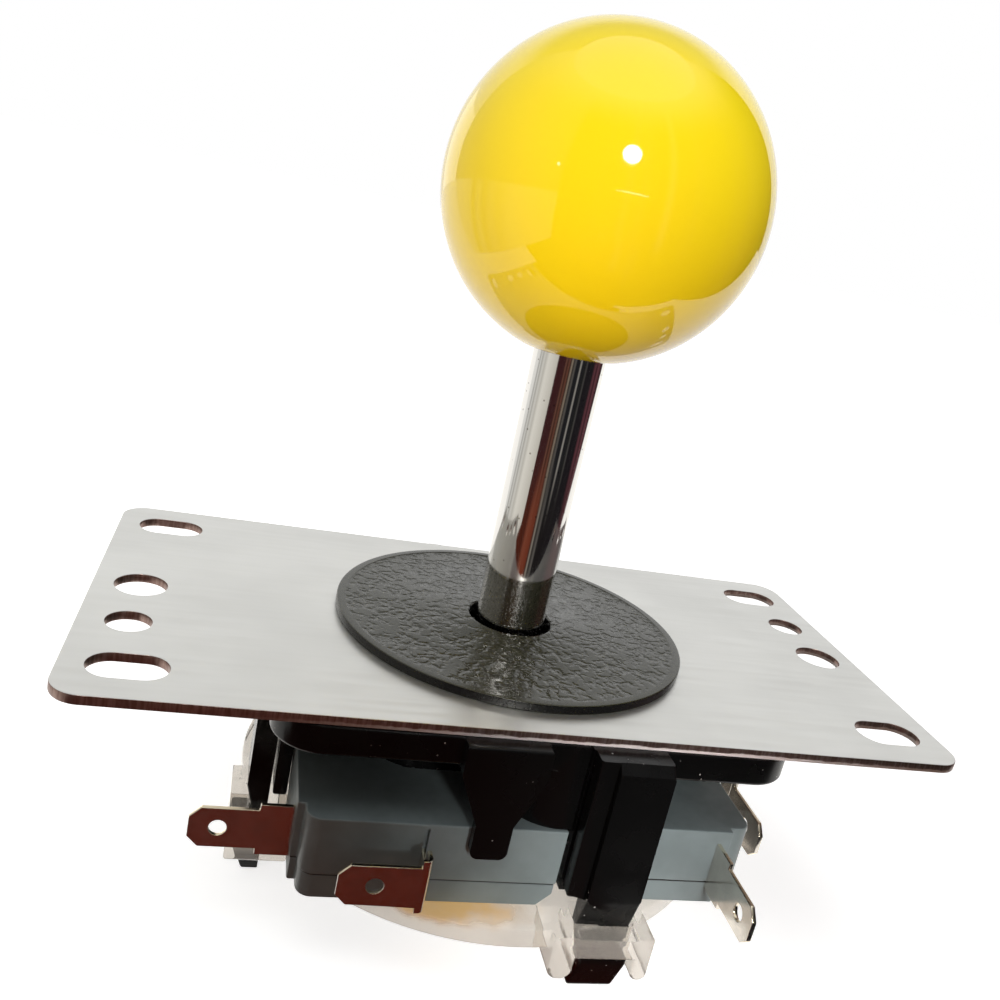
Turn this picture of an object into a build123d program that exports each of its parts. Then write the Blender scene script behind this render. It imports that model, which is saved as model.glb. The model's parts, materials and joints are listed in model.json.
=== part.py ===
from build123d import *
import math
import os

# Arcade joystick lever: a ball top on a sprung shaft, a flat mounting plate, a moulded body
# with four snap legs, four snap-action switches in a pinwheel and a clear gate below them.
# Lengths are millimetres. The origin is on the lever's axis, on the plate's top face.
# +Z runs up the lever, +X along the plate and -Y towards the front.

# Mounting plate
plate_length = 94.0
plate_width = 49.0
plate_thickness = 1.0
plate_corner_radius = 3.0
plate_eye_diameter = 17.0
slot_end_inset = 6.25
slot_side_inset = 6.0
slot_length = 7.6
slot_width = 4.8
round_hole_inset = 5.0
large_hole_diameter = 5.6
small_hole_diameter = 4.6
small_hole_offset = 9.2

# Plate screws, countersunk into the plate
screw_x = 2.2
screw_y = -16.5
screw_diameter = 2.9
screw_head_diameter = 4.9
screw_length = 8.5

# Lever
tilt_limit = 8.0
ball_diameter = 35.0
ball_height = 50.0
ball_seat_diameter = 11.0
insert_diameter = 8.0
insert_length = 13.0
stud_diameter = 5.0
stud_length = 10.0
shaft_diameter = 8.2
tail_diameter = 6.0
tail_end_depth = 25.4
clip_thickness = 0.6
clip_diameter = 8.0
clip_groove_diameter = 4.4
clip_mouth = 3.6

# Pivot ball, spring and actuator
pivot_depth = 2.4
pivot_radius = 7.0
pivot_height = 5.6
spring_washer_thickness = 0.6
spring_washer_diameter = 17.0
spring_washer_bore = 10.0
spring_diameter = 12.1
spring_wire_diameter = 0.9
spring_turns = 3.0
actuator_top_depth = 13.2
actuator_diameter = 15.0
actuator_height = 3.4
actuator_edge = 0.5
sleeve_diameter = 8.4
sleeve_end_depth = 24.1

# Dust washer
dust_washer_diameter = 41.4
dust_washer_thickness = 1.0
dust_washer_edge = 0.2

# Switches: the front one lies along X, and the others are quarter turns of it
switch_face = 25.1
switch_width = 15.2
switch_height = 9.1
switch_top_depth = 10.7
switch_far_end = 23.6
switch_near_end = 3.5
switch_case_height = 6.4
switch_corner_radius = 1.6
switch_corner_step = 0.8
switch_corner_step_width = 2.5
switch_seam_inset = 0.1
cover_end_chamfer = 1.5
plunger_width = 3.0
plunger_height = 2.2
plunger_travel = 1.25
plunger_tail = 4.0
plunger_nose_radius = 0.8
peg_hole_diameter = 3.1
peg_depth = 3.0
upper_peg_end_inset = 2.5
upper_peg_face_inset = 3.6
lower_peg_end_inset = 3.4
lower_peg_face_inset = 12.6

# Terminals
tab_thickness = 0.5
tab_width = 4.4
tab_tip_chamfer = 1.1
tab_hole_diameter = 1.7
tab_root_embed = 3.0
tab_mid_drop = 4.3
com_length = 6.6
com_hole_from_tip = 2.8
com_root_width = 5.7
com_root_length = 3.3
com_face_inset = 3.9
no_length = 7.8
no_hole_from_tip = 3.6
no_root_width = 5.9
no_stem_inset = 12.9
no_stem_width = 2.4
no_stand_off = 3.6
no_shoulder = 1.0
no_bend_radius = 0.7
no_bend_reach = 1.8
no_slot_width = 0.45
no_slot_depth = 0.5
no_slot_top_inset = 0.5

# Moulded body
flange_length = 54.6
flange_width = 49.4
flange_thickness = 3.2
flange_corner_radius = 5.0
flange_edge = 0.5
core_size = 31.0
core_corner_radius = 4.0
bowl_ledge = 1.0
bowl_mouth_diameter = 10.5
spring_room_diameter = 18.0
boss_x = 2.7
boss_y = -19.0
boss_diameter = 11.6
leg_gap = 0.5
leg_thickness = 2.4
leg_waist = 0.9
leg_x = 8.85
leg_width = 5.8
leg_end_depth = 27.5
leg_top_edge = 0.9
barb_reach = 1.2
barb_land = 0.7
barb_end_thickness = 1.8
barb_side_relief = 0.4
shoulder_thickness = 1.6
shoulder_width = 1.95
shoulder_end_depth = 16.8
end_stop_thickness = 1.5
end_stop_depth = 17.6
finger_x = -4.85
finger_width = 3.8
finger_thickness = 1.15
finger_root_width = 8.6
finger_taper_depth = 9.6
finger_end_depth = 13.4
finger_corner_radius = 0.9

# Clear gate frame and restrictor gate
frame_diameter = 57.2
frame_thickness = 2.2
lug_stand_out = 1.5
lug_end_depth = 24.9
lug_depth = 6.7
near_cheek_width = 1.75
far_cheek_width = 2.65
cheek_corner_radius = 1.5
bar_depth = 20.0
bar_height = 2.4
leg_flex_room = 1.3
gate_diameter = 34.0
gate_rim = 1.6
gate_rim_thickness = 0.9
gate_end_depth = 23.5
gate_corner_radius = 2.0
gate_key_width = 3.0
gate_key_reach = 1.4

# Clearances
running_clearance = 0.05
bowl_clearance = 0.1
sweep_clearance = 0.1
gate_clearance = 0.2
contact_clearance = 0.1
slide_clearance = 0.15
peg_clearance = 0.1
snap_clearance = 0.1
side_clearance = 0.3

# Worked-out places
tilt = math.radians(tilt_limit)
corner_tilt = math.acos(math.cos(tilt) ** 2)
plate_bottom = -plate_thickness
slot_spacing_x = plate_length - 2 * slot_end_inset
slot_spacing_y = plate_width - 2 * slot_side_inset
round_hole_spacing = plate_length - 2 * round_hole_inset
pivot_z = -pivot_depth
shaft_shoulder = pivot_z + running_clearance
ball_radius = ball_diameter / 2
ball_seat = ball_height - math.sqrt(ball_radius ** 2 - (ball_seat_diameter / 2) ** 2)
clip_top = -sleeve_end_depth - running_clearance
flange_bottom = plate_bottom - flange_thickness
bowl_radius = pivot_radius + bowl_clearance
bowl_mouth = pivot_z - math.sqrt(bowl_radius ** 2 - (bowl_mouth_diameter / 2) ** 2)
spring_seat = bowl_mouth - bowl_ledge
spring_top = spring_seat - spring_washer_thickness
actuator_top = -actuator_top_depth
actuator_bottom = actuator_top - actuator_height
switch_top = -switch_top_depth
switch_seam = switch_top - switch_case_height
switch_bottom = switch_top - switch_height
plunger_z = switch_top - switch_height / 2
upper_peg_x = switch_near_end - upper_peg_end_inset
upper_peg_y = upper_peg_face_inset - switch_face
lower_peg_x = lower_peg_end_inset - switch_far_end
lower_peg_y = lower_peg_face_inset - switch_face
tab_z = switch_top - tab_mid_drop
com_plane_y = com_face_inset - switch_face
no_stem_x = no_stem_inset - switch_far_end
frame_bottom = switch_bottom - frame_thickness
gate_rim_bottom = switch_bottom - contact_clearance - gate_rim_thickness
bar_top = -bar_depth
bar_bottom = bar_top - bar_height
leg_inner = switch_face + leg_gap
leg_face = leg_inner + leg_thickness
waist_face = leg_face - leg_waist
shoulder_face = leg_inner + shoulder_thickness
lug_face = leg_face + lug_stand_out
leg_near = leg_x - leg_width / 2
leg_far = leg_x + leg_width / 2

# The actuator's rim reaches this far at the tilt limit, where the plunger is fully pressed.
press_depth = pivot_z - (plunger_z - plunger_height / 2)
press_reach = press_depth * math.sin(tilt) + actuator_diameter / 2 * math.cos(tilt)
plunger_tip = press_reach + contact_clearance - plunger_travel
plunger_end = switch_face - switch_width + plunger_tail

# The sleeve swings this far from the axis at the gate's lower edge.
gate_swing = (-pivot_depth + gate_end_depth) * math.sin(tilt) + sleeve_diameter / 2 * math.cos(tilt)
gate_opening = 2 * (gate_swing + gate_clearance)

# The dust washer's hole clears the shaft when it leans into a corner.
washer_lean = (dust_washer_thickness + pivot_depth) * math.tan(corner_tilt)
washer_hole_radius = shaft_diameter / 2 / math.cos(corner_tilt) + washer_lean + sweep_clearance

sides = {"front": 0, "right": 90, "back": 180, "left": 270}


def drum(radius, top, bottom, x=0.0, y=0.0):
    """Upright cylinder between two heights."""
    return Pos(x, y, (top + bottom) / 2) * Cylinder(radius, top - bottom)


def block(x_low, x_high, y_low, y_high, z_low, z_high):
    """Box between six bounds."""
    middle = Pos((x_low + x_high) / 2, (y_low + y_high) / 2, (z_low + z_high) / 2)
    return middle * Box(x_high - x_low, y_high - y_low, z_high - z_low)


def slab(outline, top, bottom):
    """Flat outline on the XY plane, extruded between two heights."""
    return Pos(0, 0, bottom) * extrude(outline, top - bottom)


def side_profile(points, x_low, x_high):
    """Closed outline of (y, z) points, extruded along X."""
    outline = Plane.YZ.offset(x_low) * Polygon(*points, align=None)
    return extrude(outline, x_high - x_low)


def front_profile(outline, face_y, depth):
    """Outline drawn in X and Z, extruded from a front face towards the axis."""
    return extrude(Plane.XZ.offset(-face_y) * outline, -depth)


def four_turns(solid):
    """The solid and its three quarter-turn copies about the lever's axis."""
    copies = [Rot(0, 0, angle) * solid for angle in sides.values()]
    return copies[0] + copies[1:]


# Plate and washer


def mounting_plate():
    plate = slab(RectangleRounded(plate_length, plate_width, plate_corner_radius), 0, plate_bottom)
    slot = slab(SlotOverall(slot_length, slot_width), 0, plate_bottom)
    for x in (-slot_spacing_x / 2, slot_spacing_x / 2):
        for y in (-slot_spacing_y / 2, slot_spacing_y / 2):
            plate -= Pos(x, y, 0) * slot
    for side in (-1, 1):
        x = side * round_hole_spacing / 2
        plate -= drum(large_hole_diameter / 2, 0, plate_bottom, x)
        plate -= drum(small_hole_diameter / 2, 0, plate_bottom, x, side * small_hole_offset)
    plate -= drum(plate_eye_diameter / 2, 0, plate_bottom)
    return plate - four_turns(plate_screw(running_clearance))


def plate_screw(clearance=0.0):
    head_radius = screw_head_diameter / 2
    shank_radius = screw_diameter / 2 + clearance
    head_height = screw_head_diameter / 2 - screw_diameter / 2
    head = Pos(0, 0, -head_height / 2) * Cone(screw_diameter / 2, head_radius, head_height)
    shank = drum(shank_radius, 0, -screw_length - clearance)
    return Pos(screw_x, screw_y, 0) * (head + shank)


def dust_washer():
    washer = drum(dust_washer_diameter / 2, dust_washer_thickness, 0)
    washer = fillet(washer.edges().group_by(Axis.Z)[-1], dust_washer_edge)
    return washer - drum(washer_hole_radius, dust_washer_thickness, 0)


# Moulded body


def body_leg():
    root = core_size / 2
    hook_top = bar_bottom - snap_clearance
    barb_face = leg_face + barb_reach
    points = [
        (-root, plate_bottom),
        (-leg_face + leg_top_edge, plate_bottom),
        (-leg_face, plate_bottom - leg_top_edge),
        (-leg_face, -shoulder_end_depth),
        (-waist_face, bar_top),
        (-waist_face, hook_top),
        (-barb_face, hook_top),
        (-barb_face, hook_top - barb_land),
        (-leg_inner - barb_end_thickness, -leg_end_depth),
        (-leg_inner, -leg_end_depth),
        (-leg_inner, flange_bottom),
        (-root, flange_bottom),
    ]
    leg = side_profile(points, leg_near, leg_far)
    for x in (leg_near, leg_far - barb_side_relief):
        leg -= block(x, x + barb_side_relief, -barb_face, -leg_inner, -leg_end_depth, hook_top)
    shoulder_near = leg_near - shoulder_width
    bridge = block(shoulder_near, leg_near, -shoulder_face, -root, flange_bottom, plate_bottom)
    shoulder = block(
        shoulder_near, leg_near, -shoulder_face, -leg_inner, -shoulder_end_depth, plate_bottom
    )
    return leg + bridge + shoulder


def body_end_stop():
    """Wall behind the leg, between the near end of one switch and the far end of the next."""
    near = switch_near_end + side_clearance
    inner = switch_far_end + slide_clearance
    outer = inner + end_stop_thickness
    return block(near, leg_far, -outer, -inner, -end_stop_depth, plate_bottom)


def body_finger():
    half_root = finger_root_width / 2
    half_tip = finger_width / 2
    points = [
        (finger_x - half_root, plate_bottom),
        (finger_x - half_root, flange_bottom),
        (finger_x - half_tip, -finger_taper_depth),
        (finger_x - half_tip, -finger_end_depth),
        (finger_x + half_tip, -finger_end_depth),
        (finger_x + half_tip, -finger_taper_depth),
        (finger_x + half_root, flange_bottom),
        (finger_x + half_root, plate_bottom),
    ]
    outline = Polygon(*points, align=None)
    outline = fillet(outline.vertices().group_by(Axis.Y)[0], finger_corner_radius)
    back_face = switch_face + slide_clearance
    face = back_face + finger_thickness
    finger = front_profile(outline, -face, finger_thickness)
    bridge = block(
        finger_x - half_root, finger_x + half_root, -face, -core_size / 2, flange_bottom, plate_bottom
    )
    return finger + bridge


def main_body():
    flange = slab(
        RectangleRounded(flange_length, flange_width, flange_corner_radius), plate_bottom, flange_bottom
    )
    flange = fillet(flange.edges().group_by(Axis.Z)[0], flange_edge)
    core = slab(RectangleRounded(core_size, core_size, core_corner_radius), plate_bottom, switch_top)
    boss = drum(boss_diameter / 2, plate_bottom, switch_top, boss_x, boss_y)
    peg_radius = peg_hole_diameter / 2 - peg_clearance
    peg = drum(peg_radius, switch_top, switch_top - peg_depth, upper_peg_x, upper_peg_y)
    body = flange + core + four_turns(boss + peg + body_leg() + body_end_stop() + body_finger())
    body -= Pos(0, 0, pivot_z) * Sphere(bowl_radius)
    body -= drum(bowl_radius + bowl_clearance, plate_bottom, pivot_z)
    body -= drum(bowl_mouth_diameter / 2, pivot_z, spring_seat)
    body -= drum(spring_room_diameter / 2, spring_seat, switch_top)
    return body - four_turns(plate_screw(running_clearance))


# Clear gate


def gate_lug():
    top = switch_bottom
    window_near = leg_near - side_clearance
    window_far = leg_far + side_clearance
    lug = None
    for x_low, x_high in (
        (window_near - far_cheek_width, window_near),
        (window_far, window_far + near_cheek_width),
    ):
        middle = Pos((x_low + x_high) / 2, (top - lug_end_depth) / 2)
        outline = middle * Rectangle(x_high - x_low, top + lug_end_depth)
        corner = min(cheek_corner_radius, 0.45 * (x_high - x_low))
        outline = fillet(outline.vertices().group_by(Axis.Y)[0], corner)
        cheek = front_profile(outline, -lug_face, lug_depth)
        lug = cheek if lug is None else lug + cheek
    bar_back = waist_face + side_clearance
    bar = block(window_near, window_far, -lug_face, -bar_back, bar_bottom, bar_top)
    return lug + bar


def leg_window():
    outer = waist_face + side_clearance
    inner = leg_inner - leg_flex_room
    near = leg_near - side_clearance
    far = leg_far + side_clearance
    return block(near, far, -outer, -inner, -lug_end_depth, switch_bottom)


def gate_keys(reach, width, top, bottom):
    radius = gate_diameter / 2 + gate_rim + reach
    bar = block(-radius, radius, -width / 2, width / 2, bottom, top)
    return bar + Rot(0, 0, 90) * bar


def gate_frame():
    frame = drum(frame_diameter / 2, switch_bottom, frame_bottom)
    frame += four_turns(gate_lug())
    frame -= four_turns(leg_window())
    frame -= drum(gate_diameter / 2 + slide_clearance, switch_bottom, frame_bottom)
    rim_radius = gate_diameter / 2 + gate_rim + slide_clearance
    frame -= drum(rim_radius, switch_bottom, gate_rim_bottom)
    key_width = gate_key_width + 2 * slide_clearance
    key_reach = gate_key_reach + slide_clearance
    frame -= Rot(0, 0, 45) * gate_keys(key_reach, key_width, switch_bottom, gate_rim_bottom)
    peg_radius = peg_hole_diameter / 2 - peg_clearance
    peg = drum(peg_radius, switch_bottom + peg_depth, frame_bottom, lower_peg_x, lower_peg_y)
    return frame + four_turns(peg)


def restrictor_gate():
    rim_top = gate_rim_bottom + gate_rim_thickness
    gate = drum(gate_diameter / 2, rim_top, -gate_end_depth)
    gate += drum(gate_diameter / 2 + gate_rim, rim_top, gate_rim_bottom)
    gate += Rot(0, 0, 45) * gate_keys(gate_key_reach, gate_key_width, rim_top, gate_rim_bottom)
    opening = RectangleRounded(gate_opening, gate_opening, gate_corner_radius)
    return gate - slab(opening, rim_top, -gate_end_depth)


# Lever


def ball_top():
    ball = Pos(0, 0, ball_height) * Sphere(ball_radius)
    ball -= block(-ball_radius, ball_radius, -ball_radius, ball_radius, ball_height - ball_diameter, ball_seat)
    return ball - drum(insert_diameter / 2, ball_seat + insert_length, ball_seat)


def ball_insert():
    insert = drum(insert_diameter / 2, ball_seat + insert_length, ball_seat)
    bore_top = ball_seat + stud_length + running_clearance
    return insert - drum(stud_diameter / 2 + running_clearance, bore_top, ball_seat)


def lever_shaft():
    shaft = drum(shaft_diameter / 2, ball_seat, shaft_shoulder)
    shaft += drum(stud_diameter / 2, ball_seat + stud_length, ball_seat)
    shaft += drum(tail_diameter / 2, shaft_shoulder, -tail_end_depth)
    groove = drum(tail_diameter / 2, clip_top, clip_top - clip_thickness)
    groove -= drum(clip_groove_diameter / 2, clip_top, clip_top - clip_thickness)
    return shaft - groove


def retaining_clip():
    bottom = clip_top - clip_thickness
    clip = drum(clip_diameter / 2, clip_top, bottom)
    clip -= drum(clip_groove_diameter / 2 + running_clearance, clip_top, bottom)
    return clip - block(0, clip_diameter, -clip_mouth / 2, clip_mouth / 2, bottom, clip_top)


def pivot_ball():
    ball = Pos(0, 0, pivot_z) * Sphere(pivot_radius)
    keep = drum(pivot_radius, pivot_z, pivot_z - pivot_height)
    return (ball & keep) - drum(tail_diameter / 2 + running_clearance, pivot_z, pivot_z - pivot_height)


def actuator():
    band = drum(actuator_diameter / 2, actuator_top, actuator_bottom)
    band = chamfer(band.edges().filter_by(GeomType.CIRCLE), actuator_edge)
    sleeve = drum(sleeve_diameter / 2, actuator_bottom, -sleeve_end_depth)
    bore = drum(tail_diameter / 2 + running_clearance, actuator_top, -sleeve_end_depth)
    return band + sleeve - bore


def spring_washer():
    washer = drum(spring_washer_diameter / 2, spring_seat, spring_top)
    return washer - drum(spring_washer_bore / 2, spring_seat, spring_top)


def centering_spring():
    wire_radius = spring_wire_diameter / 2
    coil_radius = spring_diameter / 2 - wire_radius
    low = actuator_top + wire_radius + running_clearance
    height = spring_top - wire_radius - running_clearance - low
    path = Pos(0, 0, low) * Helix(height / spring_turns, height, coil_radius)
    start = Plane(origin=path @ 0, z_dir=path % 0)
    return sweep(start * Circle(wire_radius), path=path)


# Switches


def switch_outline(inset):
    length = switch_far_end + switch_near_end
    middle = Pos((switch_near_end - switch_far_end) / 2, switch_width / 2 - switch_face)
    outline = middle * Rectangle(length - 2 * inset, switch_width - 2 * inset)
    step = Pos(
        switch_corner_step / 2 - switch_far_end, switch_corner_step_width / 2 - switch_face
    ) * Rectangle(switch_corner_step + 2 * inset, switch_corner_step_width + 2 * inset)
    outline -= step
    corner = outline.vertices().group_by(Axis.Y)[0].sort_by(Axis.X)[0]
    return fillet(corner, switch_corner_radius)


def plunger_slot():
    half_width = plunger_width / 2 + slide_clearance
    half_height = plunger_height / 2 + slide_clearance
    end = plunger_end + plunger_travel + slide_clearance
    mouth = switch_face - switch_width
    return block(-half_width, half_width, -end, -mouth, plunger_z - half_height, plunger_z + half_height)


def peg_holes():
    radius = peg_hole_diameter / 2
    upper = drum(radius, switch_top, switch_bottom, upper_peg_x, upper_peg_y)
    lower = drum(radius, switch_top, switch_bottom, lower_peg_x, lower_peg_y)
    return upper + lower


def terminal_slot():
    """Groove in the case's front face, above the stem of the bent terminal."""
    middle_x = no_stem_x - tab_thickness / 2
    half_width = no_slot_width / 2
    back = no_slot_depth - switch_face
    top = switch_top - no_slot_top_inset
    return block(middle_x - half_width, middle_x + half_width, -switch_face, back, tab_z, top)


def switch_case():
    case = slab(switch_outline(0.0), switch_top, switch_seam) - terminal_slot()
    return case - plunger_slot() - peg_holes() - com_terminal() - no_terminal()


def switch_cover():
    cover = slab(switch_outline(switch_seam_inset), switch_seam, switch_bottom)
    end_edges = cover.edges().filter_by(Axis.Y).group_by(Axis.Z)[0]
    cover = chamfer(end_edges.sort_by(Axis.X)[-1], cover_end_chamfer)
    return cover - peg_holes() - com_terminal() - no_terminal()


def switch_plunger():
    half_width = plunger_width / 2
    half_height = plunger_height / 2
    plunger = block(
        -half_width, half_width, -plunger_end, -plunger_tip, plunger_z - half_height, plunger_z + half_height
    )
    nose = plunger.edges().filter_by(Axis.Z).group_by(Axis.Y)[-1]
    return fillet(nose, plunger_nose_radius)


def tab_outline(root_x, length, hole_from_tip):
    """Push-on tab in X and Z, from its root to its chamfered tip, with its hole."""
    tip_x = root_x - length
    tab = Pos(root_x - length / 2, tab_z) * Rectangle(length, tab_width)
    tab = chamfer(tab.vertices().group_by(Axis.X)[0], tab_tip_chamfer)
    return tab - Pos(tip_x + hole_from_tip, tab_z) * Circle(tab_hole_diameter / 2)


def com_terminal():
    root_x = -switch_far_end - com_root_length
    embed_x = -switch_far_end + tab_root_embed
    root = Pos((root_x + embed_x) / 2, tab_z) * Rectangle(embed_x - root_x, com_root_width)
    outline = root + tab_outline(root_x, com_length, com_hole_from_tip)
    return front_profile(outline, com_plane_y - tab_thickness / 2, tab_thickness)


def no_terminal():
    """Tab that stands off the front face, bent back into a narrow stem."""
    front = -switch_face - no_stand_off - tab_thickness / 2
    back = front + no_bend_reach
    inner_x = no_stem_x - tab_thickness
    shoulder_x = no_stem_x - no_shoulder
    root = Pos((shoulder_x + no_stem_x) / 2, tab_z) * Rectangle(no_shoulder, no_root_width)
    outline = root + tab_outline(shoulder_x, no_length, no_hole_from_tip)
    blade = front_profile(outline, front, tab_thickness)
    half_root = no_root_width / 2
    blade += block(inner_x, no_stem_x, front, back, tab_z - half_root, tab_z + half_root)
    bend = blade.edges().filter_by(Axis.Z).group_by(Axis.X)[-1].sort_by(Axis.Y)[0]
    blade = fillet(bend, no_bend_radius)
    half_stem = no_stem_width / 2
    embed = tab_root_embed - switch_face
    return blade + block(inner_x, no_stem_x, back, embed, tab_z - half_stem, tab_z + half_stem)


def all_nodes():
    """Every sub-part by its node name."""
    nodes = {
        "ball_top": ball_top(),
        "ball_insert": ball_insert(),
        "lever_shaft": lever_shaft(),
        "retaining_clip": retaining_clip(),
        "pivot_ball": pivot_ball(),
        "actuator": actuator(),
        "centering_spring": centering_spring(),
        "spring_washer": spring_washer(),
        "dust_washer": dust_washer(),
        "mounting_plate": mounting_plate(),
        "plate_screws": Compound([Rot(0, 0, angle) * plate_screw() for angle in sides.values()]),
        "main_body": main_body(),
        "gate_frame": gate_frame(),
        "restrictor_gate": restrictor_gate(),
    }
    switch_parts = {
        "case": switch_case(),
        "cover": switch_cover(),
        "plunger": switch_plunger(),
        "com_terminal": com_terminal(),
        "no_terminal": no_terminal(),
    }
    for side, angle in sides.items():
        for name, solid in switch_parts.items():
            nodes[f"{side}_switch_{name}"] = Rot(0, 0, angle) * solid
    return nodes


def main():
    os.makedirs("parts", exist_ok=True)
    for name, solid in all_nodes().items():
        export_step(solid, f"parts/{name}.step")


if __name__ == "__main__":
    main()
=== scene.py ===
"""Looks of an arcade joystick lever, laid out as a Blender add-on and run as a script."""
import json
import math

import bpy
from bpy.props import FloatProperty, FloatVectorProperty, PointerProperty
from mathutils import Matrix, Vector


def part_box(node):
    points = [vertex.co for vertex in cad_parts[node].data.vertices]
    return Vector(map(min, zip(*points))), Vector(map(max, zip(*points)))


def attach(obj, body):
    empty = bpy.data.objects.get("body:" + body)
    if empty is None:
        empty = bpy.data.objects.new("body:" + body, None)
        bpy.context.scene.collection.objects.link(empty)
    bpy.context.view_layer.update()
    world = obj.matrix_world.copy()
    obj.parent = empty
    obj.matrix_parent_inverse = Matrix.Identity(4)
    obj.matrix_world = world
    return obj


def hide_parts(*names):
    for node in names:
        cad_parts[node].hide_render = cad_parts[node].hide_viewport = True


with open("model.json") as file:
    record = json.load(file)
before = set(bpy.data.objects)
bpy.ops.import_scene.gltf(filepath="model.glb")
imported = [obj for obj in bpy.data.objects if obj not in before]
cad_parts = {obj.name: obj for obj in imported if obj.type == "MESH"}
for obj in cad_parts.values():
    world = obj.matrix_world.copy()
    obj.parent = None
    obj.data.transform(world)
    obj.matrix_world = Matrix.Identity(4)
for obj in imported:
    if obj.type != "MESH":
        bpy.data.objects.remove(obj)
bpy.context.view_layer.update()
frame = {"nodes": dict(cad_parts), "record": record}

bl_info = {
    "name": "Arcade joystick lever",
    "version": (1, 0, 0),
    "blender": (4, 5, 0),
    "location": "View3D > Sidebar > Lever",
    "description": "Dresses the joystick lever's solids with modelled pieces and procedural finishes",
    "category": "Object",
}

MM = 0.001
SIDES = ("front", "right", "back", "left")

body_of_node = {
    node: body for body, nodes in frame["record"]["behaviour"]["bodies"].items() for node in nodes
}

# Places read from the frame
floor_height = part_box("main_body")[0].z
ball_low, ball_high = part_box("ball_top")
insert_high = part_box("ball_insert")[1]
washer_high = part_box("dust_washer")[1]
gate_low, gate_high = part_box("gate_frame")
seam_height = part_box("front_switch_cover")[1].z


# Settings


def shade(name, description, default):
    return FloatVectorProperty(
        name=name, description=description, subtype="COLOR", default=default, min=0, max=1
    )


def number(name, description, default, least=0, unit="NONE"):
    return FloatProperty(name=name, description=description, default=default, min=least, unit=unit)


def length(name, description, default, least=0):
    return number(name, description, default, least, "LENGTH")


def watts(name, description, default):
    return number(name, description, default, 0, "POWER")


def angle(name, description, default):
    return FloatProperty(name=name, description=description, default=default, unit="ROTATION")


class LeverColours(bpy.types.PropertyGroup):
    """Colours of the lever's finishes."""

    ball: shade("Ball", "Gloss yellow of the ball top", (0.93, 0.75, 0.014))
    ball_shade: shade("Ball shade", "Deeper yellow that clouds the ball", (0.91, 0.71, 0.010))
    plate: shade("Plate", "Zinc plating of the mounting plate", (0.68, 0.68, 0.65))
    # Cut-edge colours: bare steel, tinted reddish-brown as a painted reflection of the brown room.
    plate_cut_with_reflection: shade("Plate cut", "Bare steel of the plate's cut edges", (0.25, 0.16, 0.137))
    plate_shear_with_reflection: shade("Plate shear", "Lighter streaks on the plate's cut edges", (0.40, 0.285, 0.25))
    plate_torn: shade("Plate torn", "Pale torn band along the plate's cut edges", (0.62, 0.55, 0.53))
    # The washer colours are lighter than the black plastic: painted sheen on the washer's level top. The
    # darker one is mottled in by a fine noise.
    washer: shade("Dust washer", "Grained black of the dust washer", (0.040, 0.041, 0.021))
    washer_shade: shade("Washer shade", "Deeper black between the washer's grains", (0.022, 0.022, 0.012))
    moulding: shade("Moulding", "Gloss black of the moulded body", (0.003, 0.003, 0.003))
    switch: shade("Switch", "Blue-grey of the switch cases", (0.172, 0.206, 0.208))
    clear: shade("Clear gate", "Warm tint of the clear gate", (0.86, 0.81, 0.74))
    grease: shade("Grease", "Amber grease on the clear gate", (0.80, 0.44, 0.12))
    terminal: shade("Terminal", "Tin plating of the terminals", (0.80, 0.75, 0.68))
    terminal_cut: shade("Terminal cut", "Bare metal on the terminals' cut edges", (0.93, 0.84, 0.66))


class LeverSizes(bpy.types.PropertyGroup):
    """Edge radii of the pieces and relief of the washer."""

    moulded_edge: length("Moulded edge", "Edge radius of the moulded pieces", 0.25 * MM)
    switch_edge: length("Switch edge", "Edge radius of the switch cases", 0.25 * MM)
    sheet_edge: length("Sheet edge", "Edge radius of stamped sheet metal", 0.1 * MM)
    washer_rim: length("Washer rim", "Width of the smooth rim round the washer's grain", 0.9 * MM)
    grain: length("Grain", "Width of one pebble of the washer's grain", 1.5 * MM, least=0.1 * MM)
    grain_depth: length("Grain depth", "Depth of the creases in the washer's grain", 0.14 * MM)


class LeverStage(bpy.types.PropertyGroup):
    """Camera and light."""

    camera_place: FloatVectorProperty(
        name="Camera place", description="Where the camera stands", unit="LENGTH",
        default=(-32.76 * MM, -106.78 * MM, 48.01 * MM),
    )
    camera_heading: angle("Camera heading", "Turn of the view from +Y towards +X", math.radians(14.93))
    camera_pitch: angle("Camera pitch", "Tilt of the view below the horizon", math.radians(16.505))
    camera_roll: angle("Camera roll", "Roll of the camera about its view", math.radians(12.28))
    camera_lens: number("Camera lens", "Focal length on a 36 mm sensor, in millimetres", 36.25, least=1)
    key_power: watts("Key power", "Power of the key lamp on the ball", 7.2)
    fill_power: watts("Fill power", "Power of the lamp left of the ball", 1.5)
    warm_power: watts("Warm power", "Power of the warm lamp that lights the ball from below", 0.4)
    soft_power: watts("Soft power", "Power of the large lamp overhead", 2.0)
    low_power: watts("Low power", "Power of the low lamp in front of the switches", 0.9)
    sky_strength: number("Sky strength", "Strength of the even light from all round", 0.55)


def colours():
    return bpy.context.scene.lever_colours


def sizes():
    return bpy.context.scene.lever_sizes


def stage_settings():
    return bpy.context.scene.lever_stage


# Materials


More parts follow.
